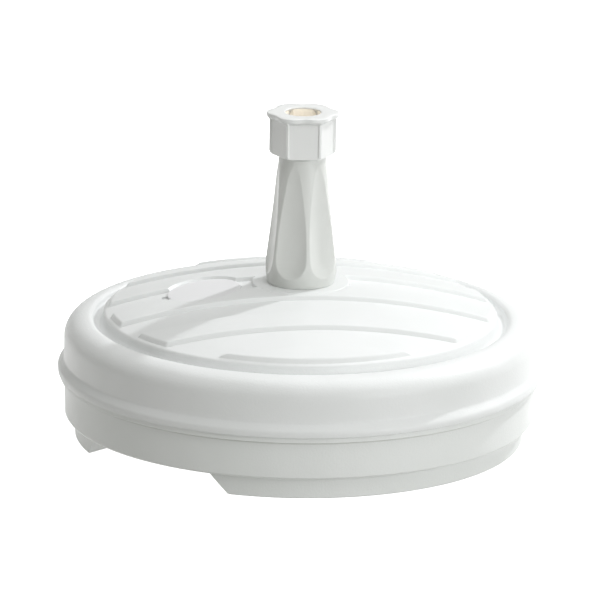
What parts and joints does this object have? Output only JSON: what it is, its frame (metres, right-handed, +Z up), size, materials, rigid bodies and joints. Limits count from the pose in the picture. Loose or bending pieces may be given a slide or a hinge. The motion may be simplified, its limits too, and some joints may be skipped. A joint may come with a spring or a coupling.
{
  "type": "parasol base",
  "caption": "Round water-filled parasol base with a fluted conical column, hexagonal clamp nut with slotted collet, and a flush filler cap.",
  "frame": {"origin": "centre of the base on the ground", "axes": "+Z up along the pole, X along the ribs on top with the filler cap on the -X side, -Y towards the front"},
  "size_m": [0.5, 0.5, 0.343],
  "materials": {
    "shell_plastic": "white moulded polypropylene, fine grain on the sides, satin on top",
    "column_plastic": "white moulded polypropylene, satin sheen",
    "nut_plastic": "white moulded polypropylene, satin sheen",
    "cap_plastic": "white moulded polyethylene, smooth",
    "insert_plastic": "natural white polypropylene",
    "cream_plastic": "cream polyamide, slightly translucent",
    "black_rubber": "black elastomer"
  },
  "bodies": {
    "base": {"lower_shell": "shell_plastic", "upper_shell": "shell_plastic", "seam_seal": "black_rubber", "well_seal": "black_rubber", "pole_centring_ring": "insert_plastic", "column": "column_plastic"},
    "collet": {"collet": "cream_plastic"},
    "clamp_nut": {"clamp_nut": "nut_plastic"},
    "filler_cap": {"filler_cap": "cap_plastic", "filler_cap_seal": "black_rubber"}
  },
  "joints": [
    {"name": "collet_rise", "type": "slide", "parent": "base", "child": "collet", "axis": [0, 0, 1], "range_m": [-0.001, 0.012]},
    {"name": "clamp_nut_turn", "type": "hinge", "parent": "collet", "child": "clamp_nut", "pos_m": [0, 0, 0.32], "axis": [0, 0, 1], "range_deg": [-90.2, 1080.2]},
    {"name": "filler_cap_lift", "type": "slide", "parent": "base", "child": "filler_cap", "axis": [-0.1449, 0, 0.9894], "range_m": [0, 0.05]}
  ],
  "couplings": [
    {"joint": "clamp_nut_turn", "follows": "collet_rise", "rad_per_m": 1570.8}
  ]
}
